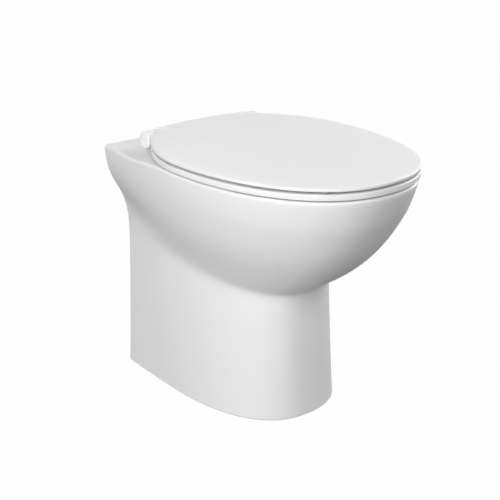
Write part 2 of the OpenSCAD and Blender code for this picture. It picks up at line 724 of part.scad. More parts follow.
// Top of the lid at o inside its edge
function back_in(o) = back_share*min(o, lid_shoulder) + max(0, o - lid_shoulder);
function lid_top(o, d) = lid_z + lid_edge
    + (lid_rise - lid_slim*ease(held((d - 2*hinge_b)/160)))*sqrt(1 - pow(1 - min(o/lid_shoulder, 1), 2))
    + lid_crown*ease(held(o/110))*ease(held((d - 2*hinge_b)/80));
function lid_ring(o, drop) = [for (p = slab(o, back_in(o))) [p[0], at(p[1]), lid_top(o, p[1]) - drop]];
notch_front = 15.2;
notch_gap = 0.6;
module lid() {
    mid = seat_w;
    color("white") difference() {
        union() {
            difference() {
                closed_skin([0, at(mid), lid_top(depth, mid)], concat(
                    [for (o = [150, 110, 80, 55, 35, 20, 14, 9, 5, 2.2, 0.6, 0]) lid_ring(o, 0)],
                    [lift(slab(0, 0), lid_z + 1), lift(slab(0.3, 0.3), lid_z + 0.3), lift(slab(1, 1), lid_z)],
                    [lift(slab(lip_w, back_in(lip_w)), lid_z)],
                    [for (o = [lip_w + 2, 25, 40, 70, 110, 150]) lid_ring(o, lid_t)]),
                    [0, at(mid), lid_top(depth, mid) - lid_t]);
                both_sides() {
                    block(post_in - notch_gap, post_out + notch_gap, 0, hinge_b + notch_front,
                        lid_z - cut, lid_z + 4*lid_edge);
                    bar_x(knuckle_in - side_gap, post_in, hinge_b, hinge_z, knuckle_r + notch_gap);
                    bar_x(barrel_out + eps, seat_a, hinge_b, hinge_z, barrel_r + side_gap);
                }
            }
            both_sides() bar_x(barrel_in, barrel_out, hinge_b, hinge_z, barrel_r);
        }
        both_sides() {
            bar_x(barrel_in - cut, barrel_out - plug_l/2, hinge_b, hinge_z, pin_r + run_gap);
            bar_x(damper_out, barrel_out + cut, hinge_b, hinge_z, damper_r);
        }
        on_side(-1) bar_x(damper_out - damper_l, barrel_out, hinge_b, hinge_z, damper_r);
    }
}
module barrel_cap(side) {
    soft = 2;
    color("white") on_side(side) {
        bar_x(damper_out, barrel_out + eps, hinge_b, hinge_z, damper_r - 2*run_gap);
        translate([barrel_out, at(hinge_b), hinge_z]) rotate([0, 90, 0]) rotate_extrude() polygon(concat(
            [[0, 0], [barrel_r, 0]],
            [for (q = [0, 30, 60, 90]) [barrel_r - soft*(1 - cos(q)), cap_t - soft*(1 - sin(q))]],
            [[0, cap_t]]));
    }
}
module barrel_cap_left() {
    barrel_cap(-1);
}
module barrel_cap_right() {
    barrel_cap(1);
}

pan();
flush_inlet_seal();
flush_spreader();
floor_bracket_left();
floor_bracket_right();
clamp_bolts();
clamp_washers();
clamp_nuts();
post_pads();
hinge_post_left();
hinge_post_right();
hinge_pin_left();
hinge_pin_right();
post_studs();
expanding_plugs();
plug_cones();
stud_nuts();
seat();
seat_buffers();
seat_damper();
lid();
lid_buffers();
lid_damper();
barrel_cap_left();
barrel_cap_right();
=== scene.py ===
"""White back-to-wall toilet with a slim soft-close seat and lid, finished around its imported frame."""
import math

import bmesh
import bpy
import numpy as np
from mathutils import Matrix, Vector


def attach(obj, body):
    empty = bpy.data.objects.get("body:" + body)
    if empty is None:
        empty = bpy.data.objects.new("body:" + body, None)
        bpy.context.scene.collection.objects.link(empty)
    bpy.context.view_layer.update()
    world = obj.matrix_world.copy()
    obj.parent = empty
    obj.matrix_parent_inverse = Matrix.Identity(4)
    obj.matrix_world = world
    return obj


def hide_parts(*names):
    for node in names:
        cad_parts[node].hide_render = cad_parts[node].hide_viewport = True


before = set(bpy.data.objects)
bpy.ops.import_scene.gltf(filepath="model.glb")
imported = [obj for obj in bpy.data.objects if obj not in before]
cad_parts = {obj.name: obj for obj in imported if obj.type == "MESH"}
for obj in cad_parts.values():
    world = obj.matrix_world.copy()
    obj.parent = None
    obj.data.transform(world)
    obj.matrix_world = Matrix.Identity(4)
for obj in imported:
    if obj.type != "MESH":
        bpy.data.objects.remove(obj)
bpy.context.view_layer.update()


# CAMERA
# The photographer stands to the left of the nose, a little above the lid, with a long lens.
turn, lift = math.radians(-40.286), math.radians(22.865)
aim, distance = Vector((0, -0.0064, 0.2061)), 1.6608
behind = Vector((math.sin(turn) * math.cos(lift), -math.cos(turn) * math.cos(lift), math.sin(lift)))
camera = bpy.data.objects.new("camera", bpy.data.cameras.new("camera"))
bpy.context.scene.collection.objects.link(camera)
camera.location = aim + distance * behind
camera.rotation_euler = behind.to_track_quat("Z", "Y").to_euler()
camera.data.sensor_width = 36
camera.data.lens = 72
camera.data.shift_x = -0.04868
camera.data.shift_y = 0.0642
bpy.context.scene.camera = camera


# PAN
# One casting of vitreous china: rim, rimless bowl, belly, pedestal, trap and spigots. It is slip
# cast in plaster moulds, so every outside edge is round, and it is glazed white before the firing.
wall = 261.5
deck_high, deck_fall, ramp_back, ramp_front, ramp_blur = 420, 8, 104, 212, 20
rim_half, rim_half_back, rim_wide, rim_nose, rim_square = 175.5, 149, 255, 521.5, 2.2
side_bow, bow_start, corner, edge_round = 1.4, 0.2, 4.5, 4
foot_half, foot_half_back, foot_wide, foot_nose, foot_square = 128.5, 125.5, 130, 362.5, 2.46
waist, waist_half, waist_nose, waist_power, skirt = 16, 0.6, 0.7, 0.8, 11
neck_back, neck_front = 257, 219.5
swell_back, swell_front, shoulder_back, shoulder_front, reach_front = 92, 3, 74, 51.5, 0.775
mouth_half, mouth_front, mouth_back, mouth_square, lip = 120, 464, 158, 2.25, 8
ledge_down, ledge_wide = 48, 16
ledge_high = deck_high - ledge_down
bowl_side_power, bowl_front_power = 1.3, 0.75
sump_half, sump_front, sump_back, sump_high = 42, 288, 240, 100
bowl_wall, deck_thick, under_lip = 10, 15, 12
trap, trap_wall, bend, climb = 32, 8, 45, math.radians(78)
outlet_high, outlet_end, spigot, spigot_long, spigot_wall = 182, 95, 51, 44, 8
inlet_high, inlet, inlet_wall, inlet_end = 330, 27.5, 8, 42
fixing_x, hinge_back, fixing_hole = 77.5, 76, 7
bracket_x, bracket_wide, bracket_front, bolt_high, bolt = 82, 24, 68, 40, 4
nose_points, side_points, corner_points, back_points = 54, 46, 8, 12


def mix(a, b, t):
    return a + (b - a) * t


def from_wall(plan, z):
    """Points of a plan given as (x, distance from the wall), laid at the heights z."""
    return np.stack([plan[..., 0], wall - plan[..., 1], np.broadcast_to(z, plan.shape[:-1])], -1)


def outline(half, half_back, wide, nose, square, back, radius):
    """Closed plan of the pan with a flat back, nose first, once round."""
    t = np.arange(nose_points) / nose_points * math.pi / 2
    power = 2 / square
    front = np.stack([half * np.sin(t) ** power, wide + (nose - wide) * np.cos(t) ** power], -1)
    t = np.arange(side_points) / side_points
    bow = ((t * t + bow_start * bow_start) ** (side_bow / 2) - bow_start ** side_bow) / (
        (1 + bow_start * bow_start) ** (side_bow / 2) - bow_start ** side_bow)
    side = np.stack([mix(half, half_back, bow), mix(wide, back + radius, t)], -1)
    t = (np.arange(corner_points) / corner_points)[:, None]
    start = np.array([half_back, back + radius])
    knee = np.array([half_back - side_bow * (half - half_back) * radius / (wide - back), back])
    end = np.array([half_back - radius, back])
    bend_round = (1 - t) ** 2 * start + 2 * t * (1 - t) * knee + t * t * end
    t = np.arange(back_points + 1) / back_points
    rear = np.stack([end[0] * (1 - t), np.full(len(t), float(back))], -1)
    right = np.concatenate([front, side, bend_round, rear])
    return np.concatenate([right, right[-2:0:-1] * [-1, 1]])


# The deck falls towards the wall in a soft ramp.
deck_places = np.arange(-60.0, 600.0)
deck_line = deck_high - deck_fall * (1 - np.sin(
    math.pi / 2 * np.clip((deck_places - ramp_back) / (ramp_front - ramp_back), 0, 1)))
softness = np.exp(-(np.arange(-ramp_blur, ramp_blur + 1) / 7) ** 2)
deck_line = np.convolve(np.pad(deck_line, ramp_blur, mode="edge"), softness / softness.sum(), "valid")


def deck(plan, drop=0.0):
    """A plan laid on the deck, or drop millimetres below it."""
    return from_wall(plan, np.interp(plan[..., 1], deck_places, deck_line) - drop)


def rim(inset, back):
    return outline(rim_half - inset, rim_half_back - inset, rim_wide, rim_nose - inset, rim_square,
                   back, corner)


def foot(h, inset):
    """Pedestal plan at part h of its height, narrower towards the neck."""
    k = waist * h ** waist_power
    return outline(foot_half - inset - waist_half * k, foot_half_back - inset - k, foot_wide,
                   foot_nose - inset - waist_nose * k, foot_square, inset, corner)


mouth_middle = (mouth_front + mouth_back) / 2
rim_plan = rim(0, 0)
rim_angle = np.arctan2(rim_plan[:, 0], rim_plan[:, 1] - mouth_middle)
nearness = np.clip(1 - rim_plan[:, 1] / rim_nose, 0, 1)
neck = mix(neck_front, neck_back, nearness)


def egg(half, front, back, square):
    middle, reach = (front + back) / 2, (front - back) / 2
    r = ((np.abs(np.sin(rim_angle)) / half) ** square
         + (np.abs(np.cos(rim_angle)) / reach) ** square) ** (-1 / square)
    return np.stack([r * np.sin(rim_angle), middle + r * np.cos(rim_angle)], -1)


def mouth(out):
    return egg(mouth_half + out, mouth_front + out, mouth_back - out, mouth_square)


def leg(h, inset, up):
    return from_wall(foot(h, inset), (neck + up) * h)


def belly(t, inset, drop, up):
    """Skin between the neck and the rim: a Bezier curve in every direction round the pan."""
    low, high = foot(1, inset), rim(inset, inset)
    a, b, c = 3 * (1 - t) ** 2 * t, 3 * (1 - t) * t * t, t ** 3
    out = b * mix(reach_front, 1, nearness) + c
    floor_z = neck + up
    top = deck(high, drop)[:, 2]
    z = ((1 - t) ** 3 * floor_z + a * (floor_z + mix(swell_front, swell_back, nearness))
         + b * (floor_z + mix(shoulder_front, shoulder_back, nearness)) + c * top)
    return from_wall(mix(low, high, out[:, None]), z)


def bowl(t, out):
    """Bowl wall between the ledge and the sump, or the same wall out millimetres thicker."""
    side = mix(mouth_half - ledge_wide, sump_half, t ** bowl_side_power) + out
    front = mix(mouth_front - ledge_wide, sump_front, math.sin(math.pi / 2 * t) ** bowl_front_power) + out
    back = mix(mouth_back + ledge_wide, sump_back, t) - out
    return from_wall(egg(side, front, back, mix(mouth_square, 2, t)), mix(ledge_high, sump_high, t))


def spread(rings, count):
    """Rings on a smooth curve through the given rings, point by point."""
    rings = np.array([rings[0], *rings, rings[-1]])
    found = []
    for u in np.linspace(0, len(rings) - 3 - 1e-9, count):
        i, t = int(u), u - int(u)
        p, q, r, s = rings[i:i + 4]
        found.append(0.5 * (2 * q + (r - p) * t + (2 * p - 5 * q + 4 * r - s) * t * t
                            + (3 * q - p - 3 * r + s) * t ** 3))
    return found


def quarter(count):
    return np.linspace(0, math.pi / 2, count)


def metres_mesh(name, points, faces, inks=None):
    """Mesh from points in millimetres. inks gives the material number of each face."""
    mesh = bpy.data.meshes.new(name)
    mesh.from_pydata((np.asarray(points) * 0.001).tolist(), [], [tuple(f) for f in faces])
    if inks is not None:
        mesh.polygons.foreach_set("material_index", np.asarray(inks, np.int32))
    solid = bmesh.new()
    solid.from_mesh(mesh)
    bmesh.ops.recalc_face_normals(solid, faces=solid.faces)
    solid.to_mesh(mesh)
    solid.free()
    piece = bpy.data.objects.new(name, mesh)
    bpy.context.scene.collection.objects.link(piece)
    return piece


def ring_faces(count, around, closed=False):
    """Quads between rings of points, and between the last ring and the first where closed."""
    faces = []
    for j in range(count if closed else count - 1):
        low, high = j * around, (j + 1) % count * around
        for i in range(around):
            k = (i + 1) % around
            faces.append((low + i, high + i, high + k, low + k))
    return faces


def lathe_like(name, rings, start, end, inks=None):
    """Closed skin from a start point through rings to an end point. inks: material per ring."""
    around, count = len(rings[0]), len(rings)
    points = np.concatenate([np.concatenate(rings), [start, end]])
    faces = ring_faces(count, around)
    numbers = [] if inks is None else [inks[j] for j in range(count - 1) for _ in range(around)]
    for i in range(around):
        faces.append((count * around, i, (i + 1) % around))
        faces.append((count * around + 1, (count - 1) * around + (i + 1) % around,
                      (count - 1) * around + i))
        numbers += [] if inks is None else [inks[0], inks[-1]]
    return metres_mesh(name, points, faces, numbers or None)


sump_middle = (sump_front + sump_back) / 2
trap_low = sump_high - trap
sump_floor = trap_low - trap - 4


def sump(q):
    """Round bottom of the bowl, from its upper edge at angle 0 down to the middle."""
    c = math.cos(q)
    plan = egg(sump_half * c, mix(sump_middle, sump_front, c), mix(sump_middle, sump_back, c), 2)
    return from_wall(plan, sump_high - (sump_high - sump_floor) * math.sin(q))


glazed = [sump(q) for q in quarter(12)[-2:0:-1]]
glazed += [bowl(t, 0) for t in np.linspace(1, 0, 44) ** 1.5]
ledge_rise = ((-0.55 * ledge_wide, 3), (-0.15 * ledge_wide, 7), (1, 14), (1, 24))
glazed += spread([bowl(0, 0), *(from_wall(mouth(out), ledge_high + up) for out, up in ledge_rise),
                  deck(mouth(0), lip)], 26)[1:-1]
glazed += [deck(mouth(lip * (1 - math.cos(q))), lip * (1 - math.sin(q))) for q in quarter(9)]
glazed += [deck(mix(mouth(lip), rim(edge_round, edge_round), t)) for t in np.linspace(0, 1, 12)[1:-1]]
for q in quarter(8)[:-1]:
    inward = edge_round * (1 - math.sin(q))
    glazed.append(deck(rim(inward, inward), edge_round * (1 - math.cos(q))))
# The neck is one smooth hollow: the columns of points are evened out there, and only there.
side_skin = np.array([belly(t, 0, edge_round, 0) for t in np.linspace(1, 0, 60)]
                     + [leg(h, 0, 0) for h in np.linspace(1, 0.008, 52)[1:]])
smoothings = 40
for _ in range(smoothings):
    smooth = side_skin.copy()
    smooth[8:-12] = (side_skin[7:-13] + 2 * side_skin[8:-12] + side_skin[9:-11]) / 4
    side_skin = smooth
glazed += list(side_skin)
raw = [leg(0, 1.5, 0), leg(0, skirt, 0)]
raw += [leg(h, skirt, skirt) for h in np.linspace(0, 1, 12)[1:]]
raw += [belly(t, skirt, deck_thick, skirt) for t in np.linspace(0, 1, 26)[1:]]
raw += [deck(mix(rim(skirt, skirt), mouth(under_lip), t), deck_thick) for t in np.linspace(0, 1, 8)[1:]]
raw += spread([deck(mouth(under_lip), deck_thick), from_wall(mouth(bowl_wall), ledge_high + 8),
               *[bowl(t, bowl_wall) - [0, 0, 2] for t in (0.1, 0.3, 0.5, 0.75, 1)]], 40)[1:]
raw += [from_wall(bowl(1, bowl_wall)[:, :2] * [1, -1] + [0, wall], z)
        for z in np.linspace(sump_high - 2, sump_floor - 0.7 * bowl_wall, 6)[1:]]
pan = lathe_like("pan_china", glazed + raw, (0, wall - sump_middle, sump_floor),
                 (0, wall - sump_middle, sump_floor - 1.4 * bowl_wall), [0] * len(glazed) + [1] * len(raw))


def turned(name, stops, radius, ink, sides=64):
    """Closed round bar through stops, each (distance from the wall, height, climb in radians)."""
    angle = np.arange(sides) / sides * 2 * math.pi
    rings = [np.stack([radius * np.cos(angle), wall - (d + radius * np.sin(angle) * math.sin(q)),
                       z + radius * np.sin(angle) * math.cos(q)], -1) for d, z, q in stops]
    first, last = stops[0], stops[-1]
    return lathe_like(name, rings, (0, wall - first[0], first[1]), (0, wall - last[0], last[1]),
                      [ink] * len(rings))


def block(name, low, high, ink):
    """Box between two corners given as (x, distance from the wall, height)."""
    solid = bmesh.new()
    bmesh.ops.create_cube(solid, size=1)
    a, b = np.minimum(low, high), np.maximum(low, high)
    for v in solid.verts:
        x, y, z = (mix(a[i], b[i], v.co[i] + 0.5) for i in range(3))
        v.co = Vector((x, wall - y, z)) * 0.001
    solid.normal_update()
    bmesh.ops.recalc_face_normals(solid, faces=solid.faces)
    mesh = bpy.data.meshes.new(name)
    solid.to_mesh(mesh)
    solid.free()
    mesh.polygons.foreach_set("material_index", [ink] * len(mesh.polygons))
    piece = bpy.data.objects.new(name, mesh)
    bpy.context.scene.collection.objects.link(piece)
    return piece


def prism(name, profile, back, front, ink):
    """Closed prism along the depth, from a profile given as (x, height)."""
    count = len(profile)
    points = [(x, wall - d, z) for d in (back, front) for x, z in profile]
    faces = [tuple(range(count)), tuple(range(2 * count - 1, count - 1, -1))]
    faces += [(i, i + count, (i + 1) % count + count, (i + 1) % count) for i in range(count)]
    return metres_mesh(name, points, faces, [ink] * len(faces))


def together(pieces):
    """Several separate closed pieces as one."""
    solid = bmesh.new()
    for piece in pieces:
        solid.from_mesh(piece.data)
    solid.to_mesh(pieces[0].data)
    solid.free()
    for piece in pieces[1:]:
        bpy.data.objects.remove(piece)
    return pieces[0]


def combine(piece, tools, operation):
    """Adds or cuts the tools, one after another, and leaves the result in the piece's mesh."""
    for tool in tools:
        step = piece.modifiers.new("step", "BOOLEAN")
        step.operation, step.solver, step.object = operation, "EXACT", tool
        made = bpy.data.meshes.new_from_object(piece.evaluated_get(bpy.context.evaluated_depsgraph_get()))
        piece.modifiers.clear()
        piece.data = made
        bpy.data.objects.remove(tool)
    return piece


bend_front = sump_back - bowl_wall / 2
leg_long = (outlet_high - trap_low - 2 * bend * (1 - math.cos(climb))) / math.sin(climb)
leg_back = bend_front - bend * math.sin(climb) - leg_long * math.cos(climb)
leg_top = trap_low + bend * (1 - math.cos(climb)) + leg_long * math.sin(climb)
bend_end = leg_back - bend * math.sin(climb)


def waterway(first, last):
    """Stops from the sump through the rising leg to the outlet."""
    turns = np.linspace(0, climb, 16)
    rising = [(bend_front - bend * math.sin(q), trap_low + bend * (1 - math.cos(q)), q) for q in turns]
    falling = [(leg_back - bend * (math.sin(climb) - math.sin(q)),
                leg_top + bend * (math.cos(q) - math.cos(climb)), q) for q in turns[::-1]]
    return [(first, trap_low, 0), *rising, *falling, (last, outlet_high, 0)]


spigot_front = outlet_end + spigot_long
web = 12
# How far a cutting tool runs past the face that it opens.
past = 1
lean = (sump_back - mouth_back - ledge_wide) / (ledge_high - sump_high)
horn_end = mouth_back + ledge_wide + (ledge_high - inlet_high) * lean - 3
horn = turned("horn", [(horn_end, inlet_high, 0), (inlet_end, inlet_high, 0)], inlet + inlet_wall, 1)
for v in horn.data.vertices:
    if v.co.y < (wall - horn_end) * 0.001 + 1e-6:
        v.co.y = (wall - horn_end) * 0.001 + (v.co.z - inlet_high * 0.001) * lean
rib_half, rib_deep = 20, 14
ribs = [block("rib", (side * (bracket_x - bracket_wide / 2), bracket_front, bolt_high - rib_half),
              (side * (foot_half_back - skirt / 2 - 2), bracket_front + rib_deep, bolt_high + rib_half), 1)
        for side in (-1, 1)]
combine(pan, [turned("trap", waterway(sump_back - 4, bend_end - past), trap + trap_wall, 1),
              turned("spigot", [(spigot_front, outlet_high, 0), (outlet_end, outlet_high, 0)],
                     spigot, 1, 96),
              horn, *ribs], "UNION")
opening_half, opening_high, opening_round = foot_half_back - 34, 379, 24
arch = [(opening_half - opening_round * (1 - math.cos(q)),
         opening_high - opening_round * (1 - math.sin(q))) for q in quarter(13)]
arch = [(-opening_half, -30), (opening_half, -30), *arch, *((-x, z) for x, z in arch[::-1])]
spigot_bore = turned("spigot_bore", [(spigot_front - web, outlet_high, 0),
                                     (outlet_end - past, outlet_high, 0)], spigot - spigot_wall, 0, 96)
bore = combine(turned("trap_bore", waterway(sump_middle, spigot_front - web - past), trap, 0),
               [spigot_bore], "UNION")
drills = [bore,
          turned("inlet_bore", [(horn_end + 30, inlet_high, 0), (inlet_end - past, inlet_high, 0)],
                 inlet, 0),
          prism("back_opening", arch, -past, skirt + 6, 1)]
for side in (-1, 1):
    hole = turned("fixing_bore", [(bracket_front + rib_deep + past, bolt_high, 0),
                                  (bracket_front - past, bolt_high, 0)], bolt + 1, 1, 24)
    for v in hole.data.vertices:
        v.co.x += side * bracket_x * 0.001
    # Bored along the depth like the others, then turned upright under the hinge post.
    well = turned("deck_bore", [(382.0, 0, 0), (413.0, 0, 0)], fixing_hole, 0, 32)
    for v in well.data.vertices:
        v.co = Vector((v.co.x + side * fixing_x * 0.001, v.co.z + (wall - hinge_back) * 0.001,
                       wall * 0.001 - v.co.y))
    drills += [hole, well]
combine(pan, [together(drills)], "DIFFERENCE")


def finish_edges(piece, degrees=32.0):
    """Smooth shading, with a crisp line only where two faces meet at a real edge."""
    solid = bmesh.new()
    solid.from_mesh(piece.data)
    bmesh.ops.remove_doubles(solid, verts=solid.verts, dist=2e-6)
    for face in solid.faces:
        face.smooth = True
    for edge in solid.edges:
        edge.smooth = not (edge.is_manifold and edge.calc_face_angle(0) > math.radians(degrees))
    solid.to_mesh(piece.data)
    solid.free()
    return piece


finish_edges(pan)


def srgb(code):
    """Colour of a six-figure sRGB hex value, as linear light."""
    parts = [int(code[i:i + 2], 16) / 255 for i in (0, 2, 4)]
    return [*(v / 12.92 if v <= 0.04045 else ((v + 0.055) / 1.055) ** 2.4 for v in parts), 1]


def add(tree, kind, inputs=None, **settings):
    """One shader node, with its settings, input values and input links."""
    made = tree.nodes.new("ShaderNode" + kind)
    for name, value in settings.items():
        setattr(made, name, value)
    for name, value in (inputs or {}).items():
        if isinstance(value, bpy.types.NodeSocket):
            tree.links.new(value, made.inputs[name])
        else:
            made.inputs[name].default_value = value
    return made


def finish(name, colours, roughness, ripple, ripple_height, stain=60.0, **shader):
    """Material with two colours that drift over stain millimetres, a range of roughness that changes
    over ripple millimetres, and a relief of that pattern where ripple_height, its height in
    millimetres, isn't 0."""
    material = bpy.data.materials.new(name)
    material.use_nodes = True
    tree = material.node_tree
    tree.nodes.clear()
    place = add(tree, "TexCoord").outputs["Object"]
    drift = add(tree, "TexNoise", {"Vector": place, "Scale": 1000 / stain, "Detail": 3.0})
    grain = add(tree, "TexNoise", {"Vector": place, "Scale": 1000 / ripple, "Detail": 2.0})
    colour = add(tree, "MixRGB", {"Fac": drift.outputs["Fac"], "Color1": srgb(colours[0]),
                                  "Color2": srgb(colours[1])})
    rough = add(tree, "MapRange", {"Value": grain.outputs["Fac"], "From Min": 0.3, "From Max": 0.7,
                                   "To Min": roughness[0], "To Max": roughness[1]})
    if ripple_height:
        relief = add(tree, "Bump", {"Height": grain.outputs["Fac"], "Strength": 1.0,
                                    "Distance": ripple_height / 1000})
        shader["Normal"] = relief.outputs["Normal"]
    body = add(tree, "BsdfPrincipled", {"Base Color": colour.outputs["Color"],
                                        "Roughness": rough.outputs["Result"], **shader})
    add(tree, "OutputMaterial", {"Surface": body.outputs["BSDF"]})
    return material


# Vitreous china under a fired white glaze: softly shining, with the faint wave of a poured coat.
china_glaze = finish("vitreous_china_glazed", ("F1F1F1", "EEEEEE"), (0.34, 0.4), 9.0, 0.008, IOR=1.52)
# The same body where the glaze is wiped off, under the foot and inside: matt biscuit.
china_biscuit = finish("vitreous_china_biscuit", ("DDD9D0", "D2CDC2"), (0.62, 0.8), 1.2, 0.05, IOR=1.5)
for material in (china_glaze, china_biscuit):
    pan.data.materials.append(material)
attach(pan, "pan_body")
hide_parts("pan")


# FLUSH FITTINGS
# The black EPDM seal grips the flush pipe in the pan's inlet. The white spreader is injection
# moulded polypropylene: it pushes in behind the bowl and throws the water both ways along the ledge.
def softened(node, radius, material, body, segments=3):
    """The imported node's own shape with its edges rounded off, as moulding or tumbling leaves them."""
    solid = bmesh.new()
    solid.from_mesh(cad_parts[node].data)
    bmesh.ops.remove_doubles(solid, verts=solid.verts, dist=2e-6)
    bmesh.ops.dissolve_limit(solid, angle_limit=math.radians(1), verts=solid.verts, edges=solid.edges)
    crisp = [e for e in solid.edges if e.is_manifold and e.calc_face_angle(0) > math.radians(30)]
    bmesh.ops.bevel(solid, geom=crisp, offset=radius * 0.001, segments=segments, profile=0.5,
                    affect="EDGES", clamp_overlap=True)
    mesh = bpy.data.meshes.new(node + "_soft")
    solid.to_mesh(mesh)
    solid.free()
    mesh.materials.append(material)
    piece = bpy.data.objects.new(node + "_soft", mesh)
    bpy.context.scene.collection.objects.link(piece)
    finish_edges(piece)
    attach(piece, body)
    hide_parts(node)


# Black EPDM, compression moulded: matt, with a fine dusty bloom.
rubber_black = finish("epdm_rubber", ("1A1A1B", "262627"), (0.5, 0.7), 0.8, 0.02, stain=12.0)
# Natural white polypropylene, injection moulded: waxy and half matt.
polypropylene = finish("polypropylene_moulded", ("DFE1E1", "D6D8D9"), (0.36, 0.48), 1.5, 0.01, stain=25.0,
                       IOR=1.49)
softened("flush_inlet_seal", 1.0, rubber_black, "pan_body")
softened("flush_spreader", 0.8, polypropylene, "pan_body")


# FLOOR FIXING
# Two bent steel brackets are screwed to the floor, out of sight behind the skirt, and a bolt
# with washer and nut clamps each to a china rib. Brackets and washers are zinc plated.
# Zinc plate over rolled steel: pale grey metal, slightly cloudy.
zinc = finish("zinc_plated_steel", ("C2C5C7", "AEB2B4"), (0.28, 0.42), 0.6, 0.006, stain=10.0,
              Metallic=1.0)
# Cold headed stainless steel: a little darker and smoother.
stainless = finish("stainless_steel", ("B4B5B7", "A3A5A8"), (0.2, 0.32), 0.5, 0.004, stain=15.0,
                   Metallic=1.0)
softened("floor_bracket_left", 1.0, zinc, "pan_body")
softened("floor_bracket_right", 1.0, zinc, "pan_body")
softened("clamp_washers", 0.3, zinc, "pan_body", 2)
softened("clamp_bolts", 0.6, stainless, "pan_body", 2)
softened("clamp_nuts", 0.6, stainless, "pan_body", 2)


# SEAT FIXING
# A stainless stud hangs from each hinge post through the deck. Below, a nut pulls a plastic cone
# into a rubber plug, which swells against the china. A pale soft pad lies under each post.
# Pale thermoplastic rubber: soft and matt, used for pads and buffers.
rubber_pale = finish("soft_pad_rubber", ("D4D6D6", "CBCDCE"), (0.5, 0.65), 1.0, 0.015, stain=10.0)
softened("post_pads", 0.2, rubber_pale, "pan_body", 2)
softened("post_studs", 0.5, stainless, "pan_body", 2)
softened("expanding_plugs", 1.2, rubber_black, "pan_body")
softened("plug_cones", 0.5, polypropylene, "pan_body", 2)
softened("stud_nuts", 0.6, stainless, "pan_body", 2)


# HINGE POSTS
# Compression moulded white posts with round heads that fill the lid's notches. Each holds a
# steel pin, fixed, on which the seat's knuckle and the lid's barrel turn.
# White urea moulding: hard and even from a polished mould, so it has no relief and one gloss all
# over. Only its white drifts a little.
urea = finish("urea_moulding_white", ("F4F4F4", "F2F2F2"), (0.36, 0.36), 60.0, 0, stain=120.0, IOR=1.54)
for side in ("left", "right"):
    softened("hinge_post_" + side, 1.0, urea, "pan_body", 4)
    softened("hinge_pin_" + side, 0.3, stainless, "pan_body", 2)


# SEAT
# Slim ring of the same white moulding, solid, with soft inner and outer edges. Two knuckles at
# the back turn on the pins; one holds the grey rotary damper that lets the seat down slowly.
seat_low, seat_top = 423, 431.5
hinge_high = 428.75
plan_half, plan_nose, plan_wide, plan_square, plan_square_back = 177.5, 523, 249, 2.24, 1.83
meet_back, tail_round, lid_back, seat_back = 39, 20, 60.5, 96
hole_half, hole_front, hole_back = 104, 446, 178
# Roundings of the ring: its outer upper edge, both lower edges, and the upper edge of the hole.
seat_soft = 1.5
seat_under, seat_inner = 0.5 * seat_soft, 1.4 * seat_soft
arm_gap, arm_deep = 0.6, 12
knuckle, knuckle_in, knuckle_out = 10.5, 46.5, 64.5
pin, running, damper, damper_long = 3, 0.05, 7, 11
plan_points = 288


def oval(half, front, wide, back, square, square_back):
    """Closed plan with its own squareness before and behind its widest place, nose first."""
    t = np.arange(plan_points) / plan_points * 2 * math.pi
    ahead = np.cos(t) >= -1e-9
    power = np.where(ahead, 2 / square, 2 / square_back)
    x = half * np.sign(np.sin(t)) * np.abs(np.sin(t)) ** power
    reach = np.where(ahead, front - wide, wide - back)
    return np.stack([x, wide + reach * np.sign(np.cos(t)) * np.abs(np.cos(t)) ** power], -1)


def slab(inset, back):
    """Plan of seat and lid: tapered sides that round into the back edge."""
    plan = oval(plan_half - inset, plan_nose - inset, plan_wide, meet_back + back, plan_square,
                plan_square_back)
    ahead = plan[:, 1] - lid_back - back
    rounded = (ahead + tail_round) ** 2 / (4 * tail_round)
    plan[:, 1] = lid_back + back + np.where(np.abs(ahead) < tail_round, rounded, np.maximum(ahead, 0))
    return plan


def seat_plan(inset):
    plan = slab(inset, inset)
    plan[:, 1] = np.maximum(plan[:, 1], seat_back + inset)
    return plan


def seat_hole(out):
    return oval(hole_half + out, hole_front + out, (hole_front + hole_back) / 2, hole_back - out,
                mouth_square, mouth_square)


def drawn_in(radius, count, turn_in, turn_down):
    """Pairs (inset, drop) round a quarter of an edge, of which math.sin makes one shrink to 0
    and math.cos makes one grow from 0."""
    return [(radius * (1 - turn_in(q)), radius * (1 - turn_down(q))) for q in quarter(count)]


seat_rings = [from_wall(mix(seat_hole(seat_inner), seat_plan(seat_soft), t), seat_top)
              for t in np.linspace(0, 1, 9)[:-1]]
seat_rings += [from_wall(seat_plan(inset), seat_top - drop)
               for inset, drop in drawn_in(seat_soft, 9, math.sin, math.cos)]
seat_rings += [from_wall(seat_plan(inset), seat_low + drop)
               for inset, drop in drawn_in(seat_under, 7, math.cos, math.sin)]
seat_rings += [from_wall(mix(seat_plan(seat_under), seat_hole(seat_under), t), seat_low)
               for t in np.linspace(0, 1, 7)[1:-1]]
seat_rings += [from_wall(seat_hole(inset), seat_low + drop)
               for inset, drop in drawn_in(seat_under, 7, math.sin, math.cos)]
seat_rings += [from_wall(seat_hole(inset), seat_top - drop)
               for inset, drop in drawn_in(seat_inner, 11, math.cos, math.sin)[:-1]]
seat = metres_mesh("seat_ring", np.concatenate(seat_rings), ring_faces(len(seat_rings), plan_points, True))


def hinge_turned(name, profile, sides):
    """Closed skin turned about the hinge axis. The profile is given as (x, radius), from axis to axis."""
    angle = np.arange(sides) / sides * 2 * math.pi
    rings = [np.stack([np.full(sides, float(x)), wall - hinge_back + radius * np.cos(angle),
                       hinge_high + radius * np.sin(angle)], -1) for x, radius in profile[1:-1]]
    start, end = ((x, wall - hinge_back, hinge_high) for x, _ in (profile[0], profile[-1]))
    return lathe_like(name, rings, start, end)


def rod(name, x_from, x_to, radius, sides=72):
    """Closed round bar along the hinge axis."""
    return hinge_turned(name, [(x_from, 0), (x_from, radius), (x_to, radius), (x_to, 0)], sides)


